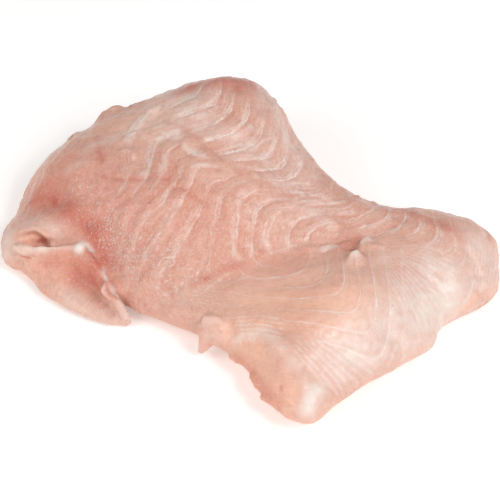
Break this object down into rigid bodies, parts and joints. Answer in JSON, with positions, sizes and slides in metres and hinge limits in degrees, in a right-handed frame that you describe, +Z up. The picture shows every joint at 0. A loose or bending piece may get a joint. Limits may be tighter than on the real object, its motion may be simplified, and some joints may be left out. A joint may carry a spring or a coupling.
{
  "type": "elephant fish fillet",
  "caption": "Raw skinless white fish fillet lying bunched in a saddle shape, with a thick loin hump, a folded belly flap, a knife-cut front lobe and a rounded tail end.",
  "frame": {"origin": "on the table, under the middle of the fillet's box", "axes": "+X along the fillet to the tail end, +Y across it to the back edge of the loin, +Z up"},
  "size_m": [0.1822, 0.1568, 0.05],
  "materials": {
    "flesh": "wet, translucent raw fish flesh"
  },
  "bodies": {
    "root": {"fillet": "flesh"}
  },
  "joints": []
}
